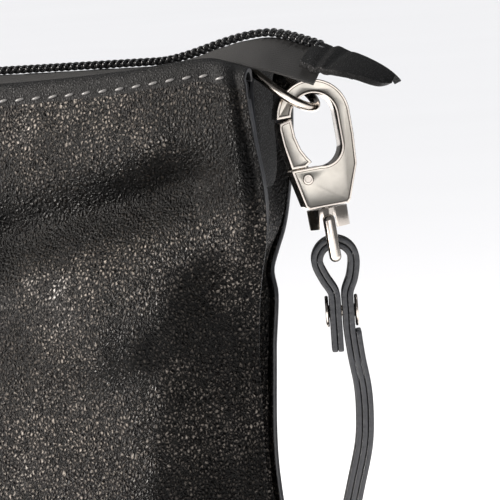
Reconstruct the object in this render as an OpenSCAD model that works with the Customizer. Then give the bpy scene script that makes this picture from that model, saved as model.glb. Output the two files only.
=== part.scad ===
// A soft leather zip-top pouch with a side ring, a swivel snap hook and a wrist strap.
// Millimetres. The origin is the centre of the flat base, +Z is up, -Y is the front,
// and the ring and the strap are on the +X side.

/* [Bag] */
// Width across the side seams
bag_w = 210; // [170:1:255]
// Height of the top edge above the base
bag_h = 145; // [125:1:175]
// Depth of the base, front to back
base_d = 44; // [38:1:54]
// Depth across the two top edges
top_d = 28; // [25:0.5:34]
// How far the front and back walls belly out
belly = 4; // [1:0.5:7]
// How far the middle of each gusset folds into the bag
gusset_fold = 12; // [6:1:16]
// Thickness of the wall leather
leather_t = 1.2; // [0.9:0.1:1.5]
// Thickness of the lining
lining_t = 0.5; // [0.3:0.1:0.7]
// Thickness of the board in the base
stiffener_t = 1.5; // [1:0.1:2.5]
// Depth of the leather turned in along the top
hem_h = 9; // [7:0.5:12]

/* [Zip] */
// Whole width of the zip tape
tape_w = 28; // [26:1:32]
// Thickness of the tape
tape_t = 0.6; // [0.4:0.1:0.8]
// Width of the closed coil
coil_w = 6; // [5:0.2:7]
// Height of the coil above the tape
coil_h = 1.9; // [1.5:0.1:2.3]
// Rise of the chain over the right corner
crest_h = 4.5; // [2:0.5:6]
// How far the tape runs on past the corner
tail_l = 14; // [10:1:18]
// Length of the leather tab on the end of the tape
end_tab_l = 13; // [11:1:17]
// Length of the slider body
slider_l = 9.5; // [8:0.5:12]
// Length of the metal link of the pull
pull_l = 13; // [11:0.5:18]
// Length of the leather part of the pull
pull_tab_l = 26; // [18:1:34]

/* [Ring and keeper] */
// Clear width inside the ring
ring_in = 13; // [12.6:0.2:16]
// Length of the ring, centre of the bar to centre of the bow
ring_l = 14.8; // [13.8:0.2:17]
// Diameter of the ring wire
ring_wire = 1.9; // [1.6:0.1:2.2]
// Width of the leather keeper
keeper_w = 11; // [9:0.5:11.2]
// Length of the keeper below the ring bar
keeper_drop = 25; // [18:1:32]
// Thickness of one ply of the keeper
keeper_t = 0.9; // [0.7:0.1:1.1]

/* [Snap hook] */
// Thickness of the hook body
clasp_t = 4.6; // [4.4:0.1:5.4]
// Inner radius of the hook crown
crown_in = 4.8; // [4.4:0.1:5]
// Outer radius of the hook crown
crown_out = 7.6; // [7.1:0.1:8]
// Width of the slot inside the hook body
clasp_slot = 3; // [2.9:0.1:3.2]
// Radius of the swivel stem
stem_r = 0.9; // [0.8:0.05:1]
// Radius of the gate pin
gate_pin_r = 0.6; // [0.5:0.05:0.7]
// Wire diameter of the swivel eye
eye_wire = 2.4; // [2:0.1:2.6]

/* [Strap] */
// Width of the strap
strap_w = 10; // [8:0.5:12]
// Thickness of the folded core of the strap
core_t = 2.4; // [2:0.1:2.6]
// Thickness of the ply that backs it
backing_t = 1.1; // [0.8:0.1:1.3]
// Radius of the rivet caps
rivet_r = 3.2; // [2.6:0.1:3.6]

/* [Fits] */
// Gap between pieces that move freely past each other
free_gap = 0.3; // [0.25:0.05:0.4]
// Radial clearance of a pin that turns in its hole
running_gap = 0.05; // [0.03:0.01:0.08]
// Gap left between sewn layers
layer_gap = 0.05; // [0.03:0.01:0.08]

/* [Hidden] */
$fn = 48;
e = 0.01;

leather = "#1b1b1d";
edge_paint = "#3a3b3f";
cloth = "#26262a";
tape_black = "#141416";
nickel = "#b9b2a6";
board = "#8b7355";

// --- curves ---
function unit(v) = v / norm(v);
function catmull(a, b, c, d, t) =
  0.5 * (2 * b + (c - a) * t + (2 * a - 5 * b + 4 * c - d) * t * t
         + (3 * b - a - 3 * c + d) * t * t * t);
function spline(p, n) = let (m = len(p)) concat(
  [for (i = [0:m - 2]) for (k = [0:n - 1])
    catmull(p[max(i - 1, 0)], p[i], p[i + 1], p[min(i + 2, m - 1)], k / n)],
  [p[m - 1]]);
function heading(p, i) = unit(p[min(i + 1, len(p) - 1)] - p[max(i - 1, 0)]);
function shifted(p, d) =
  [for (i = [0:len(p) - 1]) let (h = heading(p, i)) p[i] + d * [-h[1], h[0]]];
function reversed(p) = [for (i = [len(p) - 1:-1:0]) p[i]];
function part_of(p, a, b) = [for (i = [a:b]) p[i]];
function band(p, low, high) = concat(shifted(p, high), reversed(shifted(p, low)));
function arc(c, r, a, b, n) =
  [for (k = [0:n]) let (t = a + (b - a) * k / n) c + r * [cos(t), sin(t)]];

// --- walls: outline of the front wall in depth and height ---
side_x = bag_w / 2;
wall_z0 = leather_t + layer_gap;
WALL_STEPS = 12;
function wall_y(z) =
  -(base_d + (top_d - base_d) * z / bag_h) / 2 - belly * sin(180 * z / bag_h);
function wall_line(z0, z1, inset) =
  [for (k = [0:WALL_STEPS]) let (z = z0 + (z1 - z0) * k / WALL_STEPS) [wall_y(z) + inset, z]];
module wall(z0, z1, inset, t, half_w) {
  rotate([90, 0, 90]) linear_extrude(2 * half_w, center = true)
    polygon(concat(wall_line(z0, z1, inset), reversed(wall_line(z0, z1, inset + t))));
}

lining_inset = leather_t + layer_gap;
hem_roll_r = leather_t;
hem_inset = leather_t + lining_t + 2 * layer_gap;
lining_z0 = leather_t + stiffener_t + lining_t + 3 * layer_gap;
seam_in = 1.4;
fold_gap = 0.5;

// --- gussets: two leaves that meet at a fold pushed into the bag ---
gusset_x = side_x - 3.4;
gusset_top = bag_h - 7.4;
gusset_flat_z = gusset_top - keeper_drop - 4;
gusset_mid_z = bag_h * 0.42;
function gusset_half(z, inset) = -wall_y(z) - inset;
module gusset_leaf(x, t, inset, sign_y) {
  levels = [[wall_z0, 0.35], [gusset_mid_z, 1], [gusset_flat_z, 0], [gusset_top, 0]];
  module outer_bar(lv) translate([x - t, sign_y * (gusset_half(lv[0], inset) - 0.2) - 0.2, lv[0] - 0.1])
    cube([t, 0.4, 0.2]);
  module fold_bar(lv) translate([x - t - lv[1] * gusset_fold, -0.2, lv[0] - 0.1]) cube([t, 0.4, 0.2]);
  for (i = [0:2]) {
    hull() {
      outer_bar(levels[i]);
      fold_bar(levels[i]);
      fold_bar(levels[i + 1]);
    }
    hull() {
      outer_bar(levels[i]);
      outer_bar(levels[i + 1]);
      fold_bar(levels[i + 1]);
    }
  }
}
module gusset(x, t, inset) {
  intersection() {
    union() {
      gusset_leaf(x, t, inset, -1);
      gusset_leaf(x, t, inset, 1);
    }
    translate([0, -base_d, wall_z0]) cube([bag_w, 2 * base_d, gusset_top - wall_z0]);
  }
}

// --- zip: height of the tape's underside along the bag ---
zip_z = bag_h - 0.9;
rise_x0 = side_x - 21;
crest_x = side_x + 3;
tail_x = side_x + tail_l;
zip_left_x = -side_x + 2;
slider_x = -side_x + 13;
chain_x0 = slider_x + slider_l / 2 - 1.2;
function smooth(t) = let (u = min(max(t, 0), 1)) u * u * (3 - 2 * u);
function zip_h(x) = zip_z + crest_h * smooth((x - rise_x0) / (crest_x - rise_x0))
  - (x > crest_x ? 0.36 * (sqrt(pow(x - crest_x, 2) + 16) - 4) : 0);
function zip_line(x0, x1) = let (s = min(x1, max(x0, rise_x0))) concat(
  s > x0 ? [[x0, zip_h(x0)]] : [],
  [for (k = [0:16]) let (x = s + (x1 - s) * k / 16) [x, zip_h(x)]]);
module along_zip(x0, x1, low, high, y0, y1) {
  translate([0, y1, 0]) rotate([90, 0, 0]) linear_extrude(y1 - y0)
    polygon(band(zip_line(x0, x1), low, high));
}
tape_gap = 1;
tape_edge = top_d / 2 - hem_roll_r * 2 - lining_t - 0.6;
flank_drop = 5.6;
flank_x0 = side_x - 2;
module tape(s) {
  along_zip(zip_left_x, flank_x0, 0, tape_t,
            s < 0 ? -tape_edge : tape_gap, s < 0 ? -tape_gap : tape_edge);
  for (k = [0:2]) hull() for (x = [flank_x0 + (tail_x - flank_x0) * k / 3,
                                   flank_x0 + (tail_x - flank_x0) * (k + 1) / 3])
    let (d = flank_drop * smooth((x - flank_x0) / 8), z = zip_h(min(x, tail_x - 0.1)),
         y = tape_edge + (tape_w / 2 - 2 - tape_edge) * smooth((x - flank_x0) / 8)) {
      translate([x - 0.05, s * (tape_gap + 1.2) - 1.2, z]) cube([0.1, 2.4, tape_t]);
      translate([x - 0.05, s * y - 0.2, z - d]) cube([0.1, 0.4, tape_t]);
    }
}
module coil(s) {
  along_zip(chain_x0, tail_x - 0.9, tape_t + layer_gap, tape_t + coil_h,
            s < 0 ? -coil_w / 2 : layer_gap, s < 0 ? -layer_gap : coil_w / 2);
}

// --- ring: a bar through the keeper and a round bow ---
ring_r = ring_wire / 2;
ring_half = (ring_in + ring_wire) / 2;
ring_slope = 40;
bar_loop_r = ring_r + free_gap + keeper_t / 2;
keeper_x = gusset_x + layer_gap + keeper_t + layer_gap / 2;
bar_at = [keeper_x, 0, bag_h - 0.9];
bar_corner = 1.2;
module in_ring() translate(bar_at) rotate([0, ring_slope, 0]) children();
function turn_y(v, a) = [v[0] * cos(a) + v[2] * sin(a), v[1], -v[0] * sin(a) + v[2] * cos(a)];
function turn_z(v, a) = [v[0] * cos(a) - v[1] * sin(a), v[0] * sin(a) + v[1] * cos(a), v[2]];

// --- hook: hangs on the bow of the ring, turned and leaning a little ---
clasp_yaw = 34;
strap_yaw = 20;
lean = 6;
hang_y = 1.6;
hook_x = 1.4;
hook_drop = crown_out - 1.8;
lean_axis = [sin(strap_yaw), -cos(strap_yaw), 0];
function leaned(v) = v * cos(lean) + cross(lean_axis, v) * sin(lean)
  + lean_axis * (lean_axis * v) * (1 - cos(lean));
bow_at = bar_at + turn_y([ring_l, 0, 0], ring_slope) + [0, hang_y, 0];
module in_clasp() translate(bow_at) rotate(lean, lean_axis) rotate([0, 0, clasp_yaw])
  rotate([90, 0, 0]) translate([-hook_x, hook_drop, 0]) children();
module in_swivel() in_clasp() rotate([0, strap_yaw - clasp_yaw, 0]) children();
hook_top = bow_at + leaned(turn_z([-hook_x, 0, hook_drop], clasp_yaw));

plate_top = 17.6;
clasp_l = 25.9;
slot_bottom = 23.9;
gate_top = 7.2;
pivot = [-3.3, -19.8];
tongue_r = 1.5;
collar_r = 4.1;
collar_top = clasp_l + 0.25;
collar_h = 4;
eye_top = collar_top + 2.4;
eye_r = eye_wire / 2;
eye_half = strap_w / 2 + free_gap + eye_r;
eye_drop = eye_top + 7.2;
bar_centre = hook_top + leaned([0, 0, -eye_drop]);

// --- strap: a route in one upright plane, first from the loop, then from the floor ---
loop_in_r = 2.5;
loop_r = loop_in_r + core_t / 2;
loop_at = bar_centre - [0, 0, loop_in_r - eye_r - free_gap];
limb_x = 0.6;
limb_gap = 0.2;
left_x = limb_x - limb_gap / 2 - core_t / 2;
right_x = limb_x + limb_gap / 2 + core_t / 2;
rivet_drop = 10.4;
floor_z = -loop_at[2];
cap_h = 0.7;
lie = core_t / 2 + 0.02;
end_x = 46;
stack = core_t + backing_t + layer_gap * 2;
ROUTE_STEPS = 5;
tail_points = [[left_x, -18.4], [left_x, -14.4], [left_x, -10.4], [left_x, -7.2], [left_x - 0.4, -5.8],
               [-2.4, -3.6]];
loop_points = arc([0, 0], loop_r, 190, -10, 6);
strand_points = [[3.1, -3.6], [right_x + 0.3, -5.8], [right_x, -7.2], [right_x, -10.4], [right_x, -14.4],
                 [2.4, -20],
                 [3.2, -26], [3.2, -32], [2.5, -38], [0.2, -46.5]];
floor_points = [[-3, 45], [-4, 34], [-2.5, 24], [2, 15], [9, 8.2], [19, 3.8], [31, lie + 1],
                [end_x, lie + cap_h + 0.15], [62, lie + 0.4], [80, lie], [100, lie], [115, lie + 0.2]];
turn_points = [[124, 4.2], [128, 10], [125, 15.6], [117, 18.4], [104, 17.6], [88, 14.6], [72, 10.8],
               [58, lie + stack + cap_h + 0.5], [end_x, lie + stack + cap_h + 0.15],
               [end_x - 7, lie + stack + cap_h + 0.15]];
route_points = concat(tail_points, loop_points, strand_points,
                      [for (p = concat(floor_points, turn_points)) [p[0], p[1] + floor_z]]);
route = spline(route_points, ROUTE_STEPS);
backing_from = ROUTE_STEPS * (len(tail_points) + len(loop_points) + 4);
backing_to = ROUTE_STEPS * (len(route_points) - 4) + 2;
module in_strap() translate(loop_at) rotate([0, 0, strap_yaw]) rotate([90, 0, 0]) children();

// ================= bag =================
module front_panel() color(leather) wall(wall_z0, bag_h - hem_roll_r, 0, leather_t, side_x);
module back_panel() color(leather) mirror([0, 1, 0])
  wall(wall_z0, bag_h - hem_roll_r, 0, leather_t, side_x);

module base_panel() color(leather)
  translate([-side_x + seam_in, -base_d / 2, 0]) cube([bag_w - 2 * seam_in, base_d, leather_t]);

base_in = leather_t + lining_t + 2 * layer_gap + seam_in;
module base_stiffener() color(board)
  translate([-side_x + base_in + gusset_fold * 0.4 + 4, -base_d / 2 + base_in, leather_t + layer_gap])
    cube([bag_w - 2 * base_in - gusset_fold * 0.8 - 8, base_d - 2 * base_in, stiffener_t]);

module gusset_right() color(leather) gusset(gusset_x, leather_t, leather_t + layer_gap);
module gusset_left() color(leather) mirror([1, 0, 0])
  gusset(gusset_x, leather_t, leather_t + layer_gap);

module hem() {
  // The roll sits on the wall's top edge, and its inner leg runs down between the gussets
  y = wall_y(bag_h - hem_roll_r);
  rotate([90, 0, 90]) {
    linear_extrude(2 * side_x - 1, center = true) intersection() {
      translate([y + hem_roll_r, bag_h - hem_roll_r]) circle(hem_roll_r);
      translate([y - 1, bag_h - hem_roll_r + e]) square([4 * hem_roll_r, hem_roll_r]);
    }
    linear_extrude(2 * (gusset_x - leather_t - lining_t - 1), center = true)
      polygon([[y + hem_inset, bag_h - hem_h], [y + hem_inset + 0.6, bag_h - hem_h],
               [y + 2 * hem_roll_r, bag_h - hem_roll_r + e],
               [y + hem_roll_r + e, bag_h - hem_roll_r + e],
               [y + hem_inset, bag_h - hem_roll_r - 0.6]]);
  }
}
module front_hem() color(leather) hem();
module back_hem() color(leather) mirror([0, 1, 0]) hem();

lining_w = gusset_x - leather_t - lining_t - fold_gap;
module lining_wall() wall(lining_z0, bag_h - hem_h, lining_inset, lining_t, lining_w - gusset_fold);
module lining_front() color(cloth) lining_wall();
module lining_back() color(cloth) mirror([0, 1, 0]) lining_wall();
module lining_base() color(cloth)
  translate([-lining_w + gusset_fold, -base_d / 2 + base_in, leather_t + stiffener_t + 2 * layer_gap])
    cube([2 * (lining_w - gusset_fold), base_d - 2 * base_in, lining_t]);
module lining_side() intersection() {
  gusset(gusset_x - leather_t - fold_gap, lining_t, leather_t + layer_gap);
  translate([0, -base_d, lining_z0]) cube([bag_w, 2 * base_d, bag_h]);
}
module lining_gusset_right() color(cloth) lining_side();
module lining_gusset_left() color(cloth) mirror([1, 0, 0]) lining_side();

// ================= zip =================
module zip_tape_front() color(tape_black) tape(-1);
module zip_tape_back() color(tape_black) tape(1);
module zip_coil_front() color(tape_black) coil(-1);
module zip_coil_back() color(tape_black) coil(1);

stop_l = 2.2;
stop_x = slider_x - slider_l / 2 - free_gap - stop_l;
module zip_top_stops() color(nickel) for (s = [-1, 1])
  translate([stop_x, s * 2.1 - 0.9, zip_z + tape_t]) cube([stop_l, 1.8, 1.4]);

module zip_bottom_stop() color(nickel)
  along_zip(tail_x - 3.4, tail_x - 1.4, tape_t + coil_h + layer_gap, tape_t + coil_h + 0.5, -2.6, 2.6);

tab_half = 11;
function tab_z(t) = zip_h(tail_x) + 0.4 - 2.8 * t - 3.4 * t * t;
module tab_slice(t, half, low, high) translate([tail_x + t * end_tab_l, -half, tab_z(t) - low])
  cube([0.1, 2 * half, low + high]);
module zip_end_tab() color(edge_paint) {
  hull() {
    tab_slice(0.006, 3, 2.4, 2.4);
    tab_slice(0.006, tab_half, flank_drop + 0.4, -flank_drop + 2);
    tab_slice(0.35, tab_half, 1.9, 0.2);
    tab_slice(0.35, 4, 1.9, 1.2);
  }
  hull() {
    tab_slice(0.35, tab_half, 1.9, 0.2);
    tab_slice(0.35, 4, 1.9, 1.2);
    tab_slice(0.72, tab_half - 1, 1.3, 1);
  }
  hull() {
    tab_slice(0.72, tab_half - 1, 1.3, 1);
    tab_slice(0.93, tab_half - 3.5, 1.2, 1);
    tab_slice(0.99, tab_half - 6, 1.2, 1);
  }
}

slider_w = 9;
plate_t = 0.9;
slot_z0 = zip_z - free_gap;
slot_z1 = zip_z + tape_t + coil_h + free_gap;
slider_top = slot_z1 + plate_t;
module slider_outline() {
  // Wide at the shoulders, where the two rows part, and narrow at the tail
  polygon([[-slider_l / 2, -slider_w / 2 + 1], [-slider_l / 2 + 1.2, -slider_w / 2],
           [0, -slider_w / 2], [slider_l / 2, -coil_w / 2 - 1.2],
           [slider_l / 2, coil_w / 2 + 1.2], [0, slider_w / 2],
           [-slider_l / 2 + 1.2, slider_w / 2], [-slider_l / 2, slider_w / 2 - 1]]);
}
module zip_slider_body() color(nickel) translate([slider_x, 0, 0]) {
  translate([0, 0, slot_z0 - plate_t]) linear_extrude(plate_t) slider_outline();
  translate([0, 0, slot_z1]) linear_extrude(plate_t) slider_outline();
  // Flanges come down over the coil and stop above the tape
  translate([0, 0, zip_z + tape_t + free_gap]) linear_extrude(slot_z1 - zip_z - tape_t - free_gap)
    difference() {
      slider_outline();
      square([slider_l + 1, coil_w + 2 * free_gap], center = true);
    }
  // The wedge between the rows joins the two plates
  translate([-slider_l / 2 + 1.6, 0, slot_z0]) cylinder(r = 0.65, h = slot_z1 - slot_z0);
}
crown_w = 2.4;
crown_clear = 1.9;
link_wire = 1.4;
pull_at = [slider_x, 0, slider_top + link_wire / 2 + 0.25];
module zip_slider_crown() color(nickel) translate([slider_x, 0, slider_top])
  rotate([90, 0, 0]) linear_extrude(crown_w, center = true) difference() {
    intersection() {
      circle(3.6);
      translate([-3.6, 0]) square([7.2, 3.6]);
    }
    intersection() {
      circle(2.6);
      translate([-2.6, 0]) square([5.2, crown_clear + 0.7]);
    }
  }
link_half = 3.1;
link_corner = 1.1;
module zip_pull_link() color(nickel) translate(pull_at + [-pull_l / 2, 0, 0])
  for (k = [0, 1]) mirror([k, 0, 0]) {
    translate([pull_l / 2, 0, 0]) rotate([90, 0, 0])
      cylinder(d = link_wire, h = 2 * (link_half - link_corner), center = true);
    for (s = [0, 1]) mirror([0, s, 0]) {
      translate([pull_l / 2 - link_corner, link_half - link_corner, 0])
        rotate_extrude(angle = 90) translate([link_corner, 0]) circle(d = link_wire);
      translate([0, link_half, 0]) rotate([0, 90, 0]) cylinder(d = link_wire, h = pull_l / 2 - link_corner);
    }
  }
tab_in_r = link_wire / 2 + 0.05;
tab_ply = 1.0;
module zip_pull_tab() color(leather) translate(pull_at + [-pull_l, 0, 0])
  intersection() {
    rotate([90, 0, 0]) linear_extrude(2 * link_half - link_wire - 0.3, center = true)
      polygon(band(concat([[-pull_tab_l, 0.55]], [[-pull_tab_l * 0.5, 0.55]], [[-4, 0.6]],
                          arc([0, 0], tab_in_r + tab_ply / 2, 140, -140, 12),
                          [[-4, -0.6]], [[-pull_tab_l * 0.5, -0.55]], [[-pull_tab_l, -0.55]]),
                   -tab_ply / 2, tab_ply / 2));
    translate([-pull_tab_l, 0, 0]) cube([4 * pull_tab_l, 40, 40], center = true);
  }

// ================= ring and keeper =================
module ring_keeper() color(edge_paint) {
  z0 = bar_at[2] - keeper_drop;
  half = keeper_t / 2 + layer_gap / 2;
  path = concat([[-half, z0 - bar_at[2]], [-half, -10], [-half, -5.4], [-half - 0.3, -3.2]],
                arc([0, 0], bar_loop_r, 210, -30, 10),
                [[half + 0.3, -3.2], [half, -5.4], [half, -10], [half, z0 - bar_at[2]]]);
  intersection() {
    translate(bar_at) rotate([90, 0, 0]) linear_extrude(keeper_w, center = true)
      polygon(band(path, -keeper_t / 2, keeper_t / 2));
    union() {
      translate([gusset_x - 5, 0, z0 + keeper_w / 2]) rotate([0, 90, 0]) cylinder(d = keeper_w, h = 10);
      translate([gusset_x - 5, -keeper_w, z0 + keeper_w / 2]) cube([10, 2 * keeper_w, keeper_drop + 10]);
    }
  }
}

module side_ring() color(nickel) in_ring() {
  rotate([90, 0, 0]) cylinder(r = ring_r, h = 2 * (ring_half - bar_corner), center = true);
  for (s = [0, 1]) mirror([0, s, 0]) {
    translate([bar_corner, -ring_half + bar_corner, 0]) rotate([0, 0, 180])
      rotate_extrude(angle = 90) translate([bar_corner, 0]) circle(ring_r);
    translate([bar_corner, -ring_half, 0]) rotate([0, 90, 0])
      cylinder(r = ring_r, h = ring_l - ring_half - bar_corner);
  }
  translate([ring_l - ring_half, 0, 0]) rotate([0, 0, -90])
    rotate_extrude(angle = 180) translate([ring_half, 0]) circle(ring_r);
}

// ================= snap hook =================
module clasp_outline() {
  translate([0, -crown_out]) circle(crown_out);
  polygon([[-crown_out, -crown_out], [-7.1, -12.4], [-6.3, -18], [-4.7, -25.2], [-4.1, -clasp_l],
           [4.1, -clasp_l], [4.7, -25.2], [7.2, -18.4], [7.6, -12.4], [crown_out, -crown_out]]);
}
module clasp_opening() {
  translate([0.1, -crown_out]) circle(crown_in);
  translate([-4.4, -13.6]) square([9.3, 13.6 - crown_out]);
  translate([0.8, -13.6]) circle(4.1);
  translate([-4.4, -plate_top]) square([5, plate_top - 13.6]);
}
module clasp_hollow() polygon([[-6.4, -plate_top + e], [2.2, -plate_top + e], [3.2, -20], [2.6, -slot_bottom],
                               [-3.6, -slot_bottom], [-5.05, -20.6]]);
module clasp_body() color(nickel) in_clasp() difference() {
  linear_extrude(clasp_t, center = true) difference() {
    clasp_outline();
    clasp_opening();
    translate([-9, -plate_top]) square([5, plate_top - gate_top + 0.3]);
  }
  linear_extrude(clasp_slot, center = true) clasp_hollow();
  translate([0, -clasp_l - 1, 0]) rotate([-90, 0, 0])
    cylinder(r = stem_r + running_gap, h = clasp_l - slot_bottom + 2);
  translate([pivot[0], pivot[1], 0]) cylinder(r = gate_pin_r, h = clasp_t + 2, center = true);
}
module clasp_gate() color(nickel) in_clasp() difference() {
  union() {
    linear_extrude(clasp_t, center = true)
      polygon([[-7.2, -gate_top - 0.65], [-7.3, -9], [-7.05, -12.4], [-6.25, -17.3], [-3.4, -17.3],
               [-1.9, -16.5], [-2.7, -15.4], [-3.7, -13.6], [-4.4, -11], [-4.6, -gate_top]]);
    linear_extrude(clasp_slot - 2 * free_gap * 0.6, center = true) {
      translate(pivot) circle(tongue_r);
      polygon([[-5.2, -17.2], [-4.75, -19.6], [-1.9, -19.4], [-2.6, -17.2]]);
    }
  }
  translate([pivot[0], pivot[1], 0]) cylinder(r = gate_pin_r + running_gap, h = clasp_t + 2, center = true);
}
module gate_pin() color(nickel) in_clasp()
  translate([pivot[0], pivot[1], 0]) cylinder(r = gate_pin_r, h = clasp_t, center = true);
module gate_spring() color(nickel) in_clasp() linear_extrude(clasp_slot - 1, center = true)
  polygon(band(spline([[2.2, -21.6], [2.3, -20], [1.4, -18.7], [-0.2, -18.6], [-1.65, -19.3]], 4), -0.12, 0.12));

module swivel_stem() color(nickel) in_swivel() rotate([90, 0, 0]) {
  translate([0, 0, slot_bottom - 0.9]) cylinder(r = 1.4, h = 0.8);
  translate([0, 0, slot_bottom - 0.1]) cylinder(r = stem_r, h = collar_top - slot_bottom + 0.1);
}
module swivel_eye() color(nickel) in_swivel() {
  rotate([90, 0, 0]) translate([0, 0, collar_top]) difference() {
    cylinder(r = collar_r, h = collar_h);
    translate([-1.4, -collar_r - 1, 1.6]) cube([2.8, 2 * collar_r + 2, collar_h]);
  }
  for (y = [-eye_top, -eye_drop]) translate([0, y, 0])
    cylinder(r = eye_r, h = 2 * eye_half, center = true);
  for (s = [-1, 1]) {
    translate([0, -eye_drop, s * eye_half]) rotate([-90, 0, 0]) cylinder(r = eye_r, h = eye_drop - eye_top);
    for (y = [-eye_top, -eye_drop]) translate([0, y, s * eye_half]) sphere(r = eye_r);
  }
}

// ================= strap =================
module rivet_hole(x, y, turn) translate([x, y, 0]) rotate(turn) rotate([0, 90, 0])
  cylinder(r = 1.2, h = 16, center = true);
rivet_y = -rivet_drop;
end_y = floor_z + lie + cap_h + 0.15;
module strap_core() color(leather) in_strap() difference() {
  linear_extrude(strap_w, center = true) polygon(band(route, -core_t / 2, core_t / 2));
  rivet_hole(limb_x, rivet_y, 0);
  rivet_hole(end_x, end_y + stack / 2, 90);
}
module strap_backing() color(edge_paint) in_strap() difference() {
  linear_extrude(strap_w, center = true)
    polygon(band(part_of(route, backing_from, backing_to),
                 core_t / 2 + layer_gap / 2, core_t / 2 + layer_gap / 2 + backing_t));
  rivet_hole(end_x, end_y + stack / 2, 90);
}
module rivet(x, y, turn, low, high) translate([x, y, 0]) rotate(turn) rotate([0, 90, 0]) {
  translate([0, 0, -low]) cylinder(r = 1.2 - layer_gap, h = low + high);
  translate([0, 0, high]) cylinder(r = rivet_r, h = cap_h);
  translate([0, 0, -low - cap_h]) cylinder(r = rivet_r, h = cap_h);
}
module strap_rivet() color(nickel) in_strap()
  rivet(limb_x, rivet_y, 0, core_t + limb_gap / 2 + 0.12, core_t + limb_gap / 2 + 0.12);
module hand_loop_rivet() color(nickel) in_strap()
  rivet(end_x, end_y, 90, core_t / 2 + 0.12, stack + core_t / 2 + 0.15);

front_panel();
back_panel();
base_panel();
base_stiffener();
gusset_right();
gusset_left();
front_hem();
back_hem();
lining_front();
lining_back();
lining_base();
lining_gusset_right();
lining_gusset_left();
zip_tape_front();
zip_tape_back();
zip_coil_front();
zip_coil_back();
zip_top_stops();
zip_bottom_stop();
zip_end_tab();
zip_slider_body();
zip_slider_crown();
zip_pull_link();
zip_pull_tab();
ring_keeper();
side_ring();
clasp_body();
clasp_gate();
gate_pin();
gate_spring();
swivel_stem();
swivel_eye();
strap_core();
strap_backing();
strap_rivet();
hand_loop_rivet();
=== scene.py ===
# %% [markdown]
# # A soft leather zip pouch with a snap hook and a wrist strap
# The imported model gives every piece its place and its motion. Here each piece gets the look of the
# real thing. The frame is loaded first.

# %% Load the frame
import math

import bpy
from mathutils import Matrix, Vector, noise


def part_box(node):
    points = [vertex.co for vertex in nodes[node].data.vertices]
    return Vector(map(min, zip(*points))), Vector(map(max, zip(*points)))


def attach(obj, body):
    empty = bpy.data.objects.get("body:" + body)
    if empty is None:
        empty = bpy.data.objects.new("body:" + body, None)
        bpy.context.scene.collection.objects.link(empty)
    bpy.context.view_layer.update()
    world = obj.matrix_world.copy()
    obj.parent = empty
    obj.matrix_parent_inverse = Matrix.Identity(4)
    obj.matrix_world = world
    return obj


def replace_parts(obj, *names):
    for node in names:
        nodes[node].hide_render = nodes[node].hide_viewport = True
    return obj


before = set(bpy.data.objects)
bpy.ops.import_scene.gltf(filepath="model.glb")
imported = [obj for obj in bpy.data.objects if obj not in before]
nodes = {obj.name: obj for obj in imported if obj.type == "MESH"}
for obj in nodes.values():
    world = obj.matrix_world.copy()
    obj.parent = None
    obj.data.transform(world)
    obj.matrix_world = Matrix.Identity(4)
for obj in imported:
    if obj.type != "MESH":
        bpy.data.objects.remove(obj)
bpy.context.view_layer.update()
MM = 0.001

# %% [markdown]
# ## Camera
# A long lens stands well back, a little to the right of the front and barely above the pouch, so
# that the corner with the ring fills the view. The lens is so long that edges stay parallel.

# %% Camera
VIEW_TURN, VIEW_RISE, VIEW_ROLL = math.radians(20), math.radians(3), math.radians(-4)
VIEW_DISTANCE, VIEW_WIDTH = 1.6, 0.1
_, corner_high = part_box("front_panel")
view_centre = Vector((corner_high.x - 1.6 * MM, -14 * MM, corner_high.z - 36.5 * MM))
eye_line = Vector((math.sin(VIEW_TURN) * math.cos(VIEW_RISE), -math.cos(VIEW_TURN) * math.cos(VIEW_RISE),
                   math.sin(VIEW_RISE)))
camera_data = bpy.data.cameras.new("camera")
camera_data.lens = camera_data.sensor_width * VIEW_DISTANCE / VIEW_WIDTH
camera_data.clip_start, camera_data.clip_end = 0.1, 100
camera = bpy.data.objects.new("camera", camera_data)
bpy.context.scene.collection.objects.link(camera)
camera.matrix_world = (Matrix.Translation(view_centre + eye_line * VIEW_DISTANCE)
                       @ (-eye_line).to_track_quat("-Z", "Y").to_matrix().to_4x4()
                       @ Matrix.Rotation(VIEW_ROLL, 4, "Z"))
bpy.context.scene.camera = camera
print("camera at", [round(c, 3) for c in camera.location])

# %% [markdown]
# ## Curves that a maker would draw
# Soft shapes are set by a few stops, such as how far a seam leans at some heights. `along` runs one
# smooth line through the stops, and `spline` does the same for a route of points.

# %% Curve helpers
def smooth(t):
    t = min(max(t, 0), 1)
    return t * t * (3 - 2 * t)


def hump(x, middle, width):
    return math.exp(-((x - middle) / width) ** 2)


def along(stops, place):
    if place <= stops[0][0]:
        return stops[0][1]
    if place >= stops[-1][0]:
        return stops[-1][1]
    last = len(stops) - 1
    i = max(k for k in range(last) if stops[k][0] <= place)

    def slope(k):
        a, b = stops[max(k - 1, 0)], stops[min(k + 1, last)]
        return (b[1] - a[1]) / (b[0] - a[0])

    (a, x), (b, y) = stops[i], stops[i + 1]
    t, run = (place - a) / (b - a), b - a
    return ((2 * t ** 3 - 3 * t ** 2 + 1) * x + (t ** 3 - 2 * t ** 2 + t) * run * slope(i)
            + (3 * t ** 2 - 2 * t ** 3) * y + (t ** 3 - t ** 2) * run * slope(i + 1))


def arc(centre, radius, start, end, steps):
    angles = [math.radians(start + (end - start) * k / steps) for k in range(steps + 1)]
    return [(centre[0] + radius * math.cos(a), centre[1] + radius * math.sin(a)) for a in angles]


def spline(points, steps):
    made, last = [], len(points) - 1
    for i in range(last):
        a, b, c, d = (Vector(points[k]) for k in (max(i - 1, 0), i, i + 1, min(i + 2, last)))
        for k in range(steps):
            t = k / steps
            made.append(0.5 * (2 * b + (c - a) * t + (2 * a - 5 * b + 4 * c - d) * t * t
                               + (3 * b - a - 3 * c + d) * t ** 3))
    return made + [Vector(points[-1])]


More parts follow.
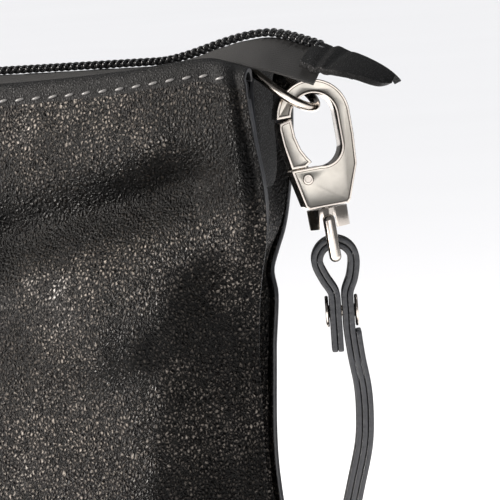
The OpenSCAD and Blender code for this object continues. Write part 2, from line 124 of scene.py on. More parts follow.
# %% [markdown]
# ## Modelling by hand, in code
# Each helper is one habit of a modeller. `clear_selection` comes before every new primitive, because
# an operator acts on all that is selected. `laid_sheet` lays a grid of leather or cloth where a rule
# says, `finish_with` adds a modifier and applies it, and `repeated` copies a small piece many times.

# %% Modelling helpers
def clear_selection():
    if bpy.context.object and bpy.context.object.mode != "OBJECT":
        bpy.ops.object.mode_set(mode="OBJECT")
    bpy.ops.object.select_all(action="DESELECT")


def only(obj):
    clear_selection()
    bpy.context.view_layer.objects.active = obj
    obj.select_set(True)
    return obj


def named(name):
    obj = bpy.context.object
    obj.name = obj.data.name = name
    return obj


def finish_with(obj, kind, **settings):
    only(obj)
    bpy.ops.object.modifier_add(type=kind)
    modifier = obj.modifiers[-1]
    for key, value in settings.items():
        setattr(modifier, key, value)
    bpy.ops.object.modifier_apply(modifier=modifier.name)
    return obj


def smooth_edges(obj, degrees=40):
    only(obj)
    bpy.ops.object.shade_smooth_by_angle(angle=math.radians(degrees))
    return obj


def laid_sheet(name, steps_along, steps_across, place):
    clear_selection()
    bpy.ops.mesh.primitive_grid_add(x_subdivisions=steps_along, y_subdivisions=steps_across, size=2)
    obj = named(name)
    for vertex in obj.data.vertices:
        vertex.co = Vector(place((vertex.co.x + 1) / 2, (vertex.co.y + 1) / 2)) * MM
    return obj


def dressed(obj, *finishes):
    obj.data.materials.clear()
    for finish in finishes:
        obj.data.materials.append(finish)
    return obj


def skin(obj, thickness, towards, *finishes, bevel=0.0):
    dressed(obj, *finishes)
    finish_with(obj, "SOLIDIFY", thickness=thickness * MM, offset=towards,
                material_offset_rim=len(finishes) - 1)
    if bevel:
        finish_with(obj, "BEVEL", width=bevel * MM, segments=2, limit_method="ANGLE",
                    angle_limit=math.radians(50))
    return smooth_edges(obj, 60)


def repeated(obj, placings):
    copies = []
    for placing in placings:
        copy = obj.copy()
        copy.data = obj.data.copy()
        bpy.context.scene.collection.objects.link(copy)
        copy.matrix_world = placing
        copies.append(copy)
    name = obj.name
    bpy.data.objects.remove(obj)
    clear_selection()
    for copy in copies:
        copy.select_set(True)
    bpy.context.view_layer.objects.active = copies[0]
    bpy.ops.object.join()
    joined = named(name)
    bpy.ops.object.transform_apply(location=True, rotation=True, scale=True)
    return joined


# %% [markdown]
# ## A small kit for finishes
# A finish is a shader graph. `Amount` wraps one socket, so that sums on it read like sums, and every
# other node comes from `Finish.node`, which takes its type, its settings and its values or links.

# %% Finish kit
class Amount:
    def __init__(self, finish, socket):
        self.finish, self.socket = finish, socket

    def _sum(self, operation, first, second):
        return self.finish.node("ShaderNodeMath", {"operation": operation}, {0: first, 1: second})

    def __add__(self, other):
        return self._sum("ADD", self, other)

    def __radd__(self, other):
        return self._sum("ADD", other, self)

    def __sub__(self, other):
        return self._sum("SUBTRACT", self, other)

    def __rsub__(self, other):
        return self._sum("SUBTRACT", other, self)

    def __mul__(self, other):
        return self._sum("MULTIPLY", self, other)

    def __rmul__(self, other):
        return self._sum("MULTIPLY", other, self)

    def wave(self):
        return self.finish.node("ShaderNodeMath", {"operation": "SINE"}, {0: self})

    def between(self, low, high):
        """0 below low, 1 above high, and a soft step between them."""
        return self.finish.node("ShaderNodeMapRange", {"interpolation_type": "SMOOTHSTEP"},
                                {"Value": self, "From Min": low, "From Max": high})


class Finish:
    def __init__(self, name, **fixed):
        self.material = bpy.data.materials.new(name)
        self.material.use_nodes = True
        self.tree = self.material.node_tree
        self.shader = self.tree.nodes["Principled BSDF"]
        for socket, value in fixed.items():
            self.feed(self.shader.inputs[socket.replace("_", " ")], value)

    def feed(self, socket, value):
        if isinstance(value, Amount):
            self.tree.links.new(value.socket, socket)
        else:
            socket.default_value = value

    def node(self, kind, settings=None, values=None, out=0):
        made = self.tree.nodes.new(kind)
        for key, value in (settings or {}).items():
            setattr(made, key, value)
        for key, value in (values or {}).items():
            self.feed(made.inputs[key], value)
        return Amount(self, made.outputs[out])

    def place(self):
        return self.node("ShaderNodeTexCoord", out="Object")

    def stretched(self, where, scale):
        return self.node("ShaderNodeMapping", {}, {"Vector": where, "Scale": scale})

    def clouds(self, where, size, detail=3.0, rough=0.55):
        return self.node("ShaderNodeTexNoise", {}, {"Vector": where, "Scale": 1 / (size * MM),
                                                   "Detail": detail, "Roughness": rough})

    def mixed(self, share, first, second):
        return self.node("ShaderNodeMix", {"data_type": "RGBA"}, {0: share, 6: first, 7: second}, out=2)

    def wandering(self, where, size, reach):
        drift = self.node("ShaderNodeTexNoise", {}, {"Vector": where, "Scale": 1 / (size * MM)}, out="Color")
        centred = self.node("ShaderNodeVectorMath", {"operation": "SUBTRACT"}, {0: drift, 1: (0.5, 0.5, 0.5)})
        return self.node("ShaderNodeVectorMath", {"operation": "MULTIPLY_ADD"},
                         {0: centred, 1: (reach * MM,) * 3, 2: where})

    def cells(self, where, size, low=0.03, high=0.3):
        edge = self.node("ShaderNodeTexVoronoi", {"feature": "DISTANCE_TO_EDGE"},
                         {"Vector": where, "Scale": 1 / (size * MM)}, out="Distance")
        return edge.between(low, high)

    def axes(self, where):
        parts = self.tree.nodes.new("ShaderNodeSeparateXYZ")
        self.tree.links.new(where.socket, parts.inputs[0])
        return [Amount(self, parts.outputs[k]) for k in range(3)]

    def relief(self, height, depth):
        bump = self.node("ShaderNodeBump", {}, {"Height": height, "Distance": depth * MM})
        self.feed(self.shader.inputs["Normal"], bump)

    def paint(self, **varying):
        for socket, value in varying.items():
            self.feed(self.shader.inputs[socket.replace("_", " ")], value)
        return self.material


# %% [markdown]
# ## Leather
# Drum-dyed leather has a pebbled grain: small pillows a little under a millimetre across, parted by
# fine creases, with finer pores on top. The creases are duller and painted darker than the pillows as
# their shade, and the dye turns slightly brown or blue from place to place. Pale specks on some pillow
# tops are painted highlights in random lit zones, kept out of the valley as its painted shade.

# %% Leather finishes
# The long valley across the front: one point on it, its slope, and how far its painted shade reaches
VALLEY_X, VALLEY_Z, VALLEY_SLOPE, VALLEY_SHADE_REACH = 61, 114.2, 0.23, 7.5


def leather(name, dark, warm, cool, sparkle_colour, pebble, depth, shine):
    finish = Finish(name, Specular_IOR_Level=0.12, Coat_Roughness=0.42)
    where = finish.place()
    drifted = finish.wandering(finish.stretched(where, (1.15, 1, 0.85)), pebble * 1.5, pebble * 0.6)
    grain = finish.cells(drifted, pebble, 0.0, 0.5)
    fine = finish.cells(finish.wandering(where, pebble * 0.5, pebble * 0.3), pebble * 0.45, 0.0, 0.45)
    broad = finish.clouds(where, 9).between(0.35, 0.65)
    pores = finish.clouds(where, pebble * 0.22, 2.0)
    tint = finish.mixed(finish.clouds(where, 14, 2.0).between(0.3, 0.7), warm, cool)
    # Painted highlights: a random patch of pillow tops gets pale specks that stand in for glints of the key
    # light
    sparkle_patch = finish.clouds(where, 0.6 * pebble, 1.0).between(0.44, 0.6)
    x, _, z = finish.axes(where)
    # Painted shade in the valley: the painted highlights fade out near the valley's line
    dip = (z - VALLEY_Z * MM - (x - VALLEY_X * MM) * VALLEY_SLOPE) * (1 / (VALLEY_SHADE_REACH * MM))
    out_of_valley_shade = (dip * dip).between(0.1, 2.2)
    # Random zones painted as lit, the rest as shaded, with fewer painted highlights there
    lit_zones = finish.clouds(where, 20, 2.0).between(0.4, 0.6)
    lit_share = (0.25 + 0.75 * lit_zones) * (0.1 + 0.9 * out_of_valley_shade)
    sparkle_and_coat = grain * sparkle_patch * lit_share
    # Colour: creases painted dark as their shade, pillows tinted, painted highlight specks on top
    colour = finish.mixed(sparkle_and_coat, finish.mixed(grain * 0.75 + fine * 0.25, dark, tint), sparkle_colour)
    height = grain * (0.75 + broad * 0.4) + fine * 0.3 + pores * 0.12
    finish.relief(height, depth)
    # The painted highlight mask also raises the coat's gloss on the same pillows
    return finish.paint(Base_Color=colour, Roughness=shine + 0.2 * (1 - grain) + 0.06 * broad,
                        Coat_Weight=0.7 * sparkle_and_coat)


def painted_edge(name, colour):
    finish = Finish(name, Specular_IOR_Level=0.5)
    where = finish.place()
    ripple = finish.clouds(where, 1.1, 3.0)
    wear = finish.clouds(where, 5).between(0.5, 0.75)
    finish.relief(ripple, 0.12)
    lighter = tuple(c * 1.7 for c in colour[:3]) + (1,)
    return finish.paint(Base_Color=finish.mixed(wear * 0.6 + ripple * 0.3, colour, lighter),
                        Roughness=0.24 + 0.18 * ripple)


# The pale last colour of each leather is the colour of its painted highlight specks
pebbled = leather("pebbled_leather", (0.0006, 0.0006, 0.0006, 1), (0.004, 0.003, 0.0024, 1),
                  (0.002, 0.002, 0.0026, 1), (0.2, 0.172, 0.145, 1), 0.85, 0.5, 0.2)
fine_grained = leather("fine_grained_leather", (0.002, 0.002, 0.002, 1), (0.007, 0.0065, 0.0065, 1),
                       (0.004, 0.0045, 0.0055, 1), (0.016, 0.015, 0.015, 1), 0.55, 0.16, 0.32)
edge_finish = painted_edge("painted_leather_edge", (0.024, 0.025, 0.028, 1))
print("leathers:", pebbled.name, fine_grained.name, edge_finish.name)

# %% [markdown]
# ## Cloth, tape, nylon and thread
# The lining is a plain weave, and the zip tape is a tight herringbone. Both are waves across two
# directions, with the threads a third of a millimetre apart. Nylon coil is smooth and slightly shiny.

# %% Cloth and thread finishes
def woven(name, dark, light, pitch, depth, slant=0.0, rough=0.85):
    finish = Finish(name, Specular_IOR_Level=0.3)
    where = finish.place()
    turned = finish.node("ShaderNodeMapping", {}, {"Vector": where, "Rotation": (slant, slant, slant)})
    x, y, z = finish.axes(turned)
    turns = 2 * math.pi / (pitch * MM)
    weave = ((x + z) * turns).wave() * ((y + z) * turns).wave() * 0.5 + 0.5
    fuzz = finish.clouds(where, pitch * 0.6, 3.0)
    finish.relief(weave * 0.7 + fuzz * 0.5, depth)
    return finish.paint(Base_Color=finish.mixed(weave * 0.5 + fuzz * 0.5, dark, light),
                        Roughness=rough + 0.1 * fuzz)


def moulded(name, dark, light, rough, grain=2.0):
    finish = Finish(name, Specular_IOR_Level=0.5)
    speck = finish.clouds(finish.place(), grain)
    finish.relief(speck, 0.05)
    return finish.paint(Base_Color=finish.mixed(speck, dark, light), Roughness=rough + 0.12 * speck)


lining_cloth = woven("lining_cloth", (0.012, 0.012, 0.014, 1), (0.04, 0.04, 0.045, 1), 0.5, 0.1)
tape_weave = woven("zip_tape_weave", (0.001, 0.001, 0.001, 1), (0.016, 0.015, 0.0145, 1),
                   0.42, 0.34, 0.5, 0.6)
coil_nylon = moulded("coil_nylon", (0.002, 0.002, 0.002, 1), (0.008, 0.008, 0.009, 1), 0.26)
waxed_thread = moulded("waxed_thread", (0.03, 0.03, 0.031, 1), (0.12, 0.115, 0.11, 1), 0.36, 0.3)
board_finish = moulded("fibre_board", (0.2, 0.13, 0.075, 1), (0.36, 0.26, 0.16, 1), 0.8, 0.6)

# %% [markdown]
# ## Nickel
# The hook's flat faces are brushed satin, and its rims and the round wires are polished. Satin is a
# wider gloss with fine drag lines in the bump, and polish keeps only faint smears and a warm cast.

# %% Metal finishes
def nickel(name, colour, rough, drag):
    finish = Finish(name, Metallic=1.0)
    where = finish.place()
    lines = finish.clouds(finish.stretched(where, (1, 1, 0.08)), 0.12, 2.0)
    smears = finish.clouds(where, 3.5).between(0.35, 0.7)
    finish.relief(lines * drag + smears * 0.2, 0.03)
    duller = tuple(c * 0.82 for c in colour[:3]) + (1,)
    return finish.paint(Base_Color=finish.mixed(smears * 0.6, colour, duller),
                        Roughness=rough + 0.1 * smears + 0.05 * drag * lines)


satin = nickel("satin_nickel", (0.56, 0.53, 0.48, 1), 0.36, 1.0)
polished = nickel("polished_nickel", (0.66, 0.6, 0.54, 1), 0.12, 0.1)
# A dark nickel painted into the fine groove on the hook's faces as its shade
groove_shade = nickel("painted_groove_shade", (0.1, 0.085, 0.07, 1), 0.5, 0.4)
print("metals:", satin.name, polished.name, groove_shade.name)

# %% [markdown]
# ## The pouch's soft outline
# The front and back walls are one hide each, held along their side seams and along the zip. Between
# those lines the leather swells and creases. So a wall is drawn as its side seam, a fall-off from
# the seam to the full belly, and then the swells, valleys and small wrinkles of a bag in use.

# %% Outline of the pouch
side_x, bag_h, base_d, top_d, belly = 105, 145, 44, 28, 4
leather_t = 1.2
front_seam_y = [(0, -20.5), (14, -19.5), (30, -13), (60, -8), (85, -8), (100, -10), (110, -13),
                (122, -14.6), (145, -14)]
back_seam_y = [(0, 20.5), (14, 19.5), (30, 12), (60, 5.5), (85, 5), (98, 6), (105, 8), (114, 11.5),
               (124, 13), (145, 14)]
front_seam_x = [(0, 103), (20, 102.4), (60, 101), (85, 101.4), (95, 102.6), (102, 104.2),
                (109, 106.6), (115, 107.6), (121, 107.6), (130, 106.4), (139, 105.4), (145, 105)]
back_seam_x = [(0, 103), (20, 101), (60, 98.6), (85, 99.8), (97, 100.8), (102, 99.9),
               (106, 100.8), (110, 101.9), (116, 102.8), (124, 103.8), (145, 105.2)]
left_seam_x = [(0, 103), (40, 101.5), (80, 103.4), (110, 104.6), (145, 105)]
top_line = [(-105, 143.4), (-97, 144.6), (-50, 143.2), (0, 142.4), (54, 142.4), (78, 143.4),
            (92, 144.8), (98, 144.9), (105, 142.7)]
gusset_fold = [(0, 3.5), (20, 8), (60, 10.5), (85, 9), (98, 6.5), (103, 4.5), (109, 1.2), (116, 0), (140, 0)]


def wall_y(z):
    return -(base_d + (top_d - base_d) * z / bag_h) / 2 - belly * math.sin(math.pi * z / bag_h)


def swells(x, z, side):
    if side < 0:
        valley = z - VALLEY_Z - VALLEY_SLOPE * (x - VALLEY_X)
        made = (3.0 * hump(x, 74, 24) * hump(z, 132, 8) + 6.0 * hump(x, 74, 20) * hump(z, 94, 14)
                - 5.0 * math.exp(-(valley / 6.5) ** 2) * smooth((x - 20) / 30) * smooth((104 - x) / 12)
                + 2.4 * hump(x, 62, 22) * hump(z, 58, 16) + 2.8 * hump(x, 5, 26) * hump(z, 96, 20)
                - 1.7 * hump(x + 0.5 * z, 58, 8) * hump(z, 70, 30)
                + 2.0 * hump(x, -64, 22) * hump(z, 82, 22)
                - 1.8 * hump(z - 0.35 * x, 140, 7) * hump(x, -58, 28))
    else:
        made = (2.4 * hump(x, 60, 26) * hump(z, 92, 18) + 2.0 * hump(x, -40, 30) * hump(z, 74, 24)
                - 1.8 * hump(z + 0.3 * x, 116, 7) * hump(x, 20, 40)
                + 1.5 * hump(x, -78, 16) * hump(z, 118, 12))
    rumple = noise.noise(Vector((x / 15, z / 11, 3.0 * side))) * 1.5
    fine = noise.noise(Vector((x / 4.2, z / 6.5, 7.0 + side))) * 0.45
    held = smooth((z - 3) / 16) * smooth((bag_h - 6 - z) / 12)
    return (made + rumple) * held + fine * smooth((z - 3) / 16) * smooth((bag_h - 3 - z) / 8)


def seam_at(side, end, z):
    """The side seam's place: side is -1 in front and +1 behind, end is -1 left and +1 right."""
    if end > 0:
        seam_x, seam_y = (front_seam_x, front_seam_y) if side < 0 else (back_seam_x, back_seam_y)
        return along(seam_x, z), along(seam_y, z)
    y = along(front_seam_y, z)
    return -along(left_seam_x, z), -side * (0.45 * y + 0.55 * wall_y(z))


def wall_point(side, x_share, z, inset=0.0):
    left, right = seam_at(side, -1, z), seam_at(side, 1, z)
    x = left[0] + inset * 1.6 + (right[0] - left[0] - 3.2 * inset) * x_share
    end, seam = (1, right) if x_share > 0.5 else (-1, left)
    d = max(abs(seam[0] - x), 0)
    t = min(d / 36, 1)
    y = seam[1] + (-side * wall_y(z) - seam[1]) * (1 - (1 - t) ** 2.4)
    lower, upper = smooth((112 - z) / 20), smooth((z - 108) / 14) * smooth((146 - z) / 8)
    edge_work = 0.75 * hump(d, 4.6, 1.5) - 1.2 * lower * hump(d, 9.5, 3) - 0.7 * upper * hump(d, 2.4, 0.9)
    stitch_groove = -0.28 * hump(z, along(top_line, x) - 2.4, 0.55)
    edge_share = 1 if end > 0 or side < 0 else 0.5
    y += side * (swells(x, z, side) * smooth(d / 16) + edge_work * edge_share + stitch_groove)
    return Vector((x, y - side * inset, z))


# %% [markdown]
# ## Front and back walls
# Each wall is one sheet from the base, up the outside, over a soft roll at the mouth and a little way
# down the inside. The columns stand closer together near the side with the ring, where the seam's
# ridge and valley need them. The sheet then gets the hide's thickness.

# %% Walls
WALL_COLUMNS, WALL_ROWS, ROLL_ROWS = 170, 120, 12
roll_r = 1.35


def wall_sheet(side):
    def place(u, v):
        share = u - 0.055 * math.sin(2 * math.pi * u)
        row = round(v * (WALL_ROWS + ROLL_ROWS))
        x_guess = -side_x + 2 * side_x * share
        top = along(top_line, x_guess)
        if row <= WALL_ROWS:
            return wall_point(side, share, 0.7 + (top - roll_r - 0.7) * row / WALL_ROWS)
        rim = wall_point(side, share, top - roll_r)
        turn = math.pi * 1.12 * (row - WALL_ROWS) / ROLL_ROWS
        return rim + Vector((0, -side * (roll_r - roll_r * math.cos(turn)), roll_r * math.sin(turn)))
    return place


walls = {}
for side, name, node in ((-1, "front_wall", "front_panel"), (1, "back_wall", "back_panel")):
    wall = laid_sheet(name, WALL_COLUMNS, WALL_ROWS + ROLL_ROWS, wall_sheet(side))
    if side > 0:
        only(wall)
        bpy.ops.object.mode_set(mode="EDIT")
        bpy.ops.mesh.select_all(action="SELECT")
        bpy.ops.mesh.flip_normals()
        bpy.ops.object.mode_set(mode="OBJECT")
    skin(wall, leather_t * 0.9, 1, pebbled, fine_grained, edge_finish, bevel=0.3)
    for face in wall.data.polygons:
        x, z = face.center.x / MM, face.center.z / MM
        if face.material_index == 0 and z > along(top_line, x) - 3.3:
            face.material_index = 1
    walls[side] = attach(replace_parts(wall, node), "bag")
    print(name, "faces:", len(wall.data.polygons))

# %% [markdown]
# ## Gussets and base
# A gusset is a strip of the same hide that folds inwards, so that the pouch can open wide. At the top
# it is flat behind the ring's keeper, and lower down it creases where the two side seams draw
# together. The base is a plain panel, a little dished between the corners it stands on.

# %% Gussets and base
def gusset_place(end, inset=0.0):
    def place(u, v):
        z = 0.8 + (bag_h - 7.6 - 0.8) * v + inset * (1 - v)
        (xf, yf), (xb, yb) = seam_at(-1, end, z), seam_at(1, end, z)
        yf, yb = yf + 1.2 + inset, yb - 1.2 - inset
        across = 2 * u - 1
        fold = along(gusset_fold, z) * (1 - abs(across) ** 1.4)
        flat = smooth((z - 106) / 8)
        x = end * (xf + (xb - xf) * u) if end < 0 else xf + (xb - xf) * u
        x = abs(x) - (0.6 + fold) * (1 - flat) - (abs(x) - 101.55) * flat * (1 - abs(across) ** 8)
        crease = 0.55 * math.sin((z + 5 * across) * 0.95) * hump(z, 97, 11) * (1 - abs(across))
        rumple = noise.noise(Vector((across * 2, z / 6, 11 + end))) * 0.5 * (1 - flat)
        return Vector((end * (x + crease + rumple - inset), yf + (yb - yf) * u, z))
    return place


for end, name, node in ((1, "right_gusset", "gusset_right"), (-1, "left_gusset", "gusset_left")):
    gusset = laid_sheet(name, 36, 110, gusset_place(end))
    if end < 0:
        only(gusset)
        bpy.ops.object.mode_set(mode="EDIT")
        bpy.ops.mesh.select_all(action="SELECT")
        bpy.ops.mesh.flip_normals()
        bpy.ops.object.mode_set(mode="OBJECT")
    skin(gusset, leather_t * 0.8, -1, pebbled, edge_finish)
    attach(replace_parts(gusset, node), "bag")


def base_place(u, v):
    x = (2 * u - 1) * 102.6
    half = 21.2 - 1.2 * smooth((abs(x) - 92) / 12)
    return Vector((x, (2 * v - 1) * half, 0.05 + 0.5 * math.sin(math.pi * u) * math.sin(math.pi * v)))


base = laid_sheet("base", 90, 24, base_place)
skin(base, leather_t, 1, pebbled, edge_finish, bevel=0.3)
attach(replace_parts(base, "base_panel"), "bag")
for slot in nodes["base_stiffener"].material_slots:
    slot.material = board_finish
print("gussets and base made")

# %% [markdown]
# ## Lining and the turned-in hem
# The lining hangs inside the walls, a hair clear of the leather, and is caught under the leather that
# turns in at the mouth. It follows the walls' swells, so it is laid by the same rule with an inset.

# %% Lining and hems
def lining_place(side):
    def place(u, v):
        return wall_point(side, 0.03 + 0.94 * u, 4.2 + (bag_h - 9.4 - 4.2) * v, 1.75)
    return place


def hem_place(side):
    def place(u, v):
        share = 0.02 + 0.96 * u
        z = bag_h - 9 + 6.9 * v
        top = along(top_line, -side_x + 2 * side_x * share)
        return wall_point(side, share, min(z, top - 2.2), 2.45 + 0.15 * v)
    return place


for side, part in ((-1, "front"), (1, "back")):
    cloth = laid_sheet("lining_cloth_" + part, 90, 60, lining_place(side))
    skin(cloth, 0.45, 0, lining_cloth)
    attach(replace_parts(cloth, "lining_" + part), "bag")
    turned = laid_sheet("turned_hem_" + part, 120, 8, hem_place(side))
    skin(turned, 0.6, 0, fine_grained, edge_finish)
    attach(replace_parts(turned, part + "_hem"), "bag")
for end, part in ((1, "right"), (-1, "left")):
    cloth = laid_sheet("lining_fold_" + part, 24, 60, gusset_place(end, 1.9))
    skin(cloth, 0.45, 0, lining_cloth)
    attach(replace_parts(cloth, "lining_gusset_" + part), "bag")


def lining_floor(u, v):
    slack = 0.25 * noise.noise(Vector((u * 9, v * 3, 2)))
    return Vector(((2 * u - 1) * 88, (2 * v - 1) * 18.2, 3.15 + slack))


cloth = laid_sheet("lining_cloth_base", 60, 16, lining_floor)
skin(cloth, 0.4, 0, lining_cloth)
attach(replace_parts(cloth, "lining_base"), "bag")
print("lining and hems made")

# %% [markdown]
# ## Hem stitches
# One row of lock stitches runs two and a half millimetres below the mouth. Each stitch is a short,
# slanted capsule of thread, half sunk in the leather's outer face. One is modelled, then copied.

# %% Hem stitches
STITCH_PITCH = 3.6


def stitch(name):
    clear_selection()
    bpy.ops.mesh.primitive_uv_sphere_add(segments=6, ring_count=5, radius=1.05 * MM,
                                         rotation=(0, math.pi / 2, 0))
    obj = named(name)
    bpy.ops.object.transform_apply(rotation=True)
    for vertex in obj.data.vertices:
        vertex.co.y *= 0.34
        vertex.co.z *= 0.32
    bpy.ops.object.shade_smooth()
    return dressed(obj, waxed_thread)


for side, name in ((-1, "front_hem_stitches"), (1, "back_hem_stitches")):
    placings = []
    for k in range(57):
        x = -101.5 + STITCH_PITCH * k
        z = along(top_line, x) - 2.4
        share = (x + side_x) / (2 * side_x)
        here, there = wall_point(side, share - 0.004, z), wall_point(side, share + 0.004, z)
        run = math.atan2(there.y - here.y, there.x - here.x)
        y = (here.y + there.y) / 2 + side * (leather_t * 0.9 + 0.05)
        placings.append(Matrix.Translation(Vector((x, y, z)) * MM) @ Matrix.Rotation(run, 4, "Z")
                        @ Matrix.Rotation(math.radians(14 * side), 4, "Y"))
    row = repeated(stitch(name), placings)
    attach(row, "bag")
    print(name, "stitches:", len(placings))

# %% [markdown]
# ## Zip tape and coil
# The tape is woven, lies level under the coil, then climbs over the corner and drops its flanks like
# a tent. A coil zip's teeth are turns of nylon wire: each turn stands up from the tape and hooks its
# neighbour. One turn is a small ring pressed oval, copied along both rows, half a pitch apart.

# %% Zip tape
zip_z, rise_x0, crest_x, tail_x, crest_h = bag_h - 0.9, side_x - 24, side_x, side_x + 14, 4.5


def zip_h(x):
    rise = zip_z + crest_h * smooth((x - rise_x0) / (crest_x - rise_x0))
    return rise - (0.4 * (math.sqrt((x - crest_x) ** 2 + 16) - 4) if x > crest_x else 0)


def tape_place(side):
    def place(u, v):
        x = -side_x + 2.2 + (tail_x + side_x - 2.6) * u
        tent = smooth((x - side_x + 6) / 8)
        wide = smooth((x - side_x + 32) / 14)
        y = 1.0 + (9.5 + 1.6 * wide) * v
        hang = zip_h(x) + 0.3 - (bag_h - 1.4)
        slack = 0.15 * noise.noise(Vector((x / 4, 3 * v, side)))
        drop = (tent * 5.3 * v ** 1.25 + (1 - tent) * wide * max(hang, 0) * v ** 1.6
                + 1.6 * (1 - wide) * v ** 2.4 + slack)
        return Vector((x, side * y, zip_h(x) + 0.3 - drop))
    return place


for side, part in ((-1, "front"), (1, "back")):
    tape = laid_sheet("woven_tape_" + part, 180, 10, tape_place(side))
    skin(tape, 0.55, 0, tape_weave)
    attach(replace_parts(tape, "zip_tape_" + part), "bag")

# %% Zip coil
COIL_PITCH = 1.4


def coil_turn(name, side):
    clear_selection()
    bpy.ops.mesh.primitive_torus_add(major_segments=12, minor_segments=6, major_radius=1, minor_radius=0.34,
                                     rotation=(0, math.pi / 2, 0))
    obj = named(name)
    bpy.ops.object.transform_apply(rotation=True)
    for vertex in obj.data.vertices:
        across, up, run = vertex.co.y, vertex.co.z, vertex.co.x
        inner = max(side * -across, 0)
        vertex.co = Vector((run + across * 0.12, side * 1.62 + across * 1.1,
                            0.95 + up * (0.62 + 0.12 * inner))) * MM
    bpy.ops.object.shade_smooth()
    return dressed(obj, coil_nylon)


for side, part in ((-1, "front"), (1, "back")):
    placings = []
    x = -86 + (COIL_PITCH / 2 if side > 0 else 0)
    while x < tail_x - 2.8:
        climb = math.atan2(zip_h(x + 0.5) - zip_h(x - 0.5), 1)
        place = Vector((x, 0, zip_h(x) + 0.6)) * MM
        placings.append(Matrix.Translation(place) @ Matrix.Rotation(-climb, 4, "Y"))
        x += COIL_PITCH * math.cos(climb)
    row = repeated(coil_turn("nylon_coil_" + part, side), placings)
    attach(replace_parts(row, "zip_coil_" + part), "bag")
    print("coil turns,", part, ":", len(placings))

# %% [markdown]
# ## End tab
# The tape's end is closed in a folded piece of smooth leather, creased where it leaves the tape, and
# blunt and rounded at the tip. It is laid as one sheet from front edge over the ridge to back edge.

# %% End tab
def tab_place(u, v):
    t = -0.25 + 1.24 * u
    across = 2 * v - 1
    ridge = zip_h(tail_x + min(t, 0) * 13) + 2.3 - 3.2 * max(t, 0) - 3.2 * max(t, 0) ** 2
    tip = math.sqrt(max(1 - max((t - 0.72) / 0.28, 0) ** 2, 0.09))
    half = (11.2 - 3.4 * smooth((t - 0.3) / 0.6)) * (0.05 + 0.95 * tip)
    drop = (3.6 - 1.2 * smooth(t / 0.8)) * abs(across) ** 1.3 * (0.45 + 0.55 * tip)
    crease = (0.3 * hump(t, -0.02, 0.05) - 0.25 * hump(t, 0.1, 0.05)
              + 0.3 * hump(t - 0.12 * across, 0.26, 0.05))
    fall = 0.4 * (1 - tip)
    return Vector((tail_x + t * 13, across * half, ridge - drop - crease - fall))


clear_selection()
bpy.ops.mesh.primitive_cube_add(size=1, location=(0, 0, 0))
stop = named("bottom_stop")
for vertex in stop.data.vertices:
    x = tail_x - 1.6 + 1.6 * vertex.co.x
    vertex.co = Vector((x, 5.6 * vertex.co.y, zip_h(x) + 1.1 + 1.5 * vertex.co.z)) * MM
dressed(stop, coil_nylon)
finish_with(stop, "BEVEL", width=0.3 * MM, segments=3)
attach(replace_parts(smooth_edges(stop), "zip_bottom_stop"), "bag")

tab = laid_sheet("end_tab", 56, 26, tab_place)
skin(tab, 1.3, -1, fine_grained, bevel=0.35)
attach(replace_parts(tab, "zip_end_tab"), "bag")
print("end tab made")

# %% [markdown]
# ## Machined pieces
# Cast and stamped metal never has knife edges. A copy of the frame's own shape is merged, its flat
# faces are cleaned, and every sharp edge gets a small round. The frame's own mesh is left alone.

# %% Metal pieces
def grooved(obj, facing):
    """A polished rim and a fine groove round the two flat faces, its dark nickel painted in as the groove's
    shade.
    """
    levels = [vertex.co.dot(facing) for vertex in obj.data.vertices]
    low, high = min(levels), max(levels)
    for face in obj.data.polygons:
        level = face.center.dot(facing)
        flat = abs(face.normal.dot(facing)) > 0.999 and min(level - low, high - level) < 0.02 * MM
        face.select = flat and face.area > 2 * MM * MM
        face.material_index = 0 if face.select else 1
    obj.data.materials.append(groove_shade)
    bpy.ops.object.mode_set(mode="EDIT")
    bpy.ops.mesh.select_mode(type="FACE")
    bpy.ops.mesh.inset(thickness=0.36 * MM, depth=0, use_even_offset=True)
    bpy.ops.object.mode_set(mode="OBJECT")
    inner = {face.index for face in obj.data.polygons if face.select}
    for face in obj.data.polygons:
        if face.material_index == 0 and face.index not in inner:
            face.material_index = 1
    bpy.ops.object.mode_set(mode="EDIT")
    bpy.ops.mesh.inset(thickness=0.15 * MM, depth=-0.1 * MM, use_even_offset=True)
    bpy.ops.object.mode_set(mode="OBJECT")
    for face in obj.data.polygons:
        if face.material_index == 0 and not face.select:
            face.material_index = 2


def machined(node, name, body, width, main, rims=None, facing=None, segments=3, angle=28):
    obj = nodes[node].copy()
    obj.data = nodes[node].data.copy()
    bpy.context.scene.collection.objects.link(obj)
    obj.parent, obj.matrix_world = None, Matrix.Identity(4)
    for key in list(obj.keys()):
        del obj[key]
    obj.name = obj.data.name = name
    only(obj)
    bpy.ops.object.mode_set(mode="EDIT")
    bpy.ops.mesh.select_all(action="SELECT")
    bpy.ops.mesh.remove_doubles(threshold=0.002 * MM)
    bpy.ops.mesh.dissolve_limited(angle_limit=math.radians(1.5))
    bpy.ops.object.mode_set(mode="OBJECT")
    dressed(obj, main, *([rims] if rims else []))
    if rims:
        for face in obj.data.polygons:
            face.material_index = 0 if abs(face.normal.dot(facing)) > 0.99 else 1
    if width:
        finish_with(obj, "BEVEL", width=width * MM, segments=segments, limit_method="ANGLE",
                    angle_limit=math.radians(angle), material=1 if rims else -1)
    if rims:
        grooved(obj, facing)
    smooth_edges(obj, 35)
    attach(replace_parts(obj, node), body)
    return obj


